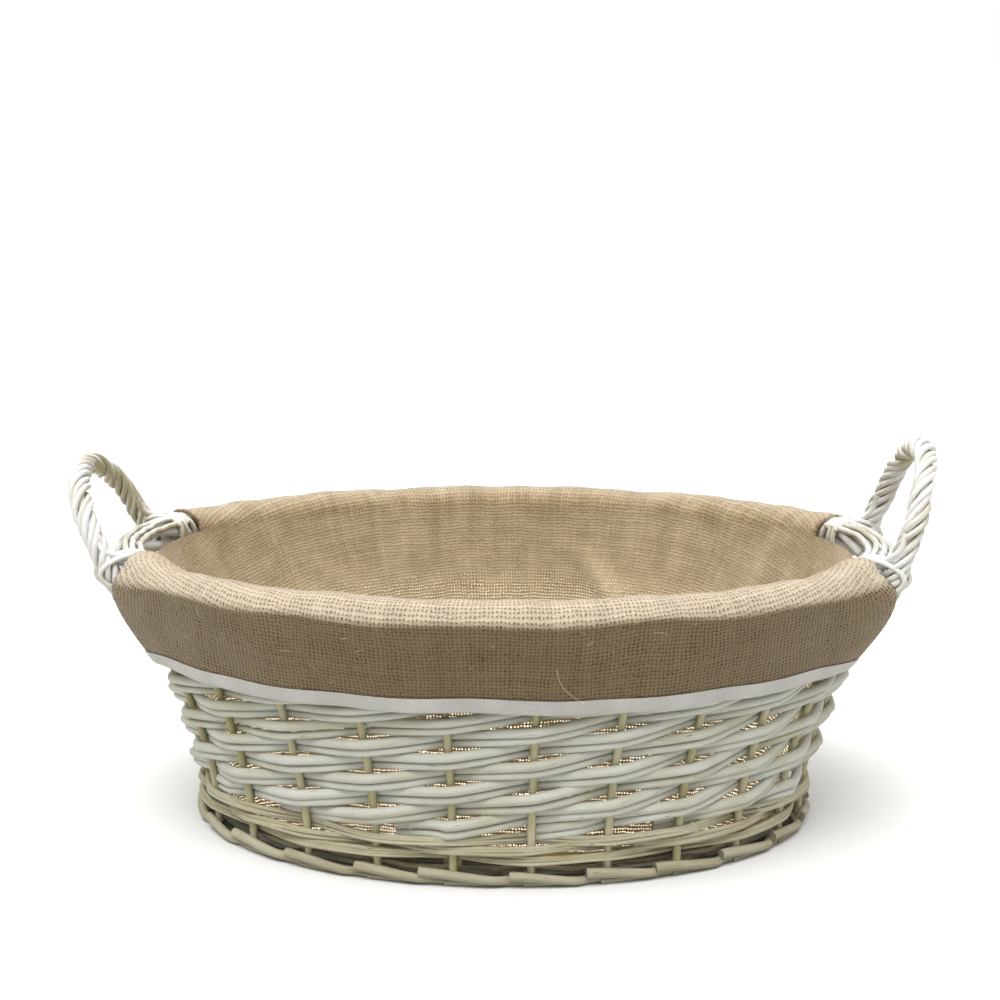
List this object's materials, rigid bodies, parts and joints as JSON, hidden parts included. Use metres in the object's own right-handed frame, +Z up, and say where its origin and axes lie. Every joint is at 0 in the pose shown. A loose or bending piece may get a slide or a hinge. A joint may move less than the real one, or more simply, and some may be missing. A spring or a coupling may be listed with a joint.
{
  "type": "lined wicker bread basket",
  "caption": "Low oval wicker basket in whitewashed willow with twisted rope handles and a hessian liner whose cuff folds over the rim; holds bread, rolls or gifts.",
  "frame": {"origin": "middle of the foot, on the surface that the basket stands on", "axes": "+X along the basket from the left handle to the right handle, +Y across it towards the back, +Z up"},
  "size_m": [0.5125, 0.3358, 0.2323],
  "materials": {
    "whitewashed_willow": "matt white wash rubbed over peeled willow rods",
    "green_stakes": "thin wash over green-gold willow stakes",
    "natural_willow": "bare peeled willow, lightly washed",
    "hessian": "plain weave jute hessian, dry and slightly hairy",
    "cotton_tape": "matt off-white cotton tape"
  },
  "bodies": {
    "basket": {"foot_border": "natural_willow", "base_cross_stick_1": "natural_willow", "base_cross_stick_2": "natural_willow", "base_cross_stick_3": "natural_willow", "base_cross_stick_4": "natural_willow", "base_cross_stick_5": "natural_willow", "base_long_stick_1": "natural_willow", "base_long_stick_2": "natural_willow", "base_weave": "natural_willow", "stake_01": "green_stakes", "stake_02": "green_stakes", "stake_03": "green_stakes", "stake_04": "green_stakes", "stake_05": "green_stakes", "stake_06": "green_stakes", "stake_07": "green_stakes", "stake_08": "green_stakes", "stake_09": "green_stakes", "stake_10": "green_stakes", "stake_11": "green_stakes", "stake_12": "green_stakes", "stake_13": "green_stakes", "stake_14": "green_stakes", "stake_15": "green_stakes", "stake_16": "green_stakes", "stake_17": "green_stakes", "stake_18": "green_stakes", "stake_19": "green_stakes", "stake_20": "green_stakes", "stake_21": "green_stakes", "stake_22": "green_stakes", "stake_23": "green_stakes", "stake_24": "green_stakes", "wale_1": "natural_willow", "wale_2": "natural_willow", "wale_3": "natural_willow", "weaver_pair_01": "whitewashed_willow", "weaver_pair_02": "whitewashed_willow", "weaver_pair_03": "whitewashed_willow", "weaver_pair_04": "whitewashed_willow", "weaver_pair_05": "whitewashed_willow", "weaver_pair_06": "whitewashed_willow", "weaver_pair_07": "whitewashed_willow", "weaver_pair_08": "whitewashed_willow", "weaver_pair_09": "whitewashed_willow", "weaver_pair_10": "whitewashed_willow", "weaver_pair_11": "whitewashed_willow", "weaver_pair_12": "whitewashed_willow", "weaver_pair_13": "whitewashed_willow", "weaver_pair_14": "whitewashed_willow", "top_border": "whitewashed_willow", "handle_left": "whitewashed_willow", "handle_right": "whitewashed_willow"},
    "liner": {"liner_floor": "hessian", "liner_wall": "hessian", "cuff_front": "hessian", "cuff_back": "hessian", "hem_tape_front": "cotton_tape", "hem_tape_back": "cotton_tape"}
  },
  "joints": [
    {"name": "liner_lift", "type": "slide", "parent": "basket", "child": "liner", "axis": [0, 0, 1], "range_m": [0, 0.24], "deforming": ["cuff_front", "cuff_back", "hem_tape_front", "hem_tape_back"]}
  ]
}
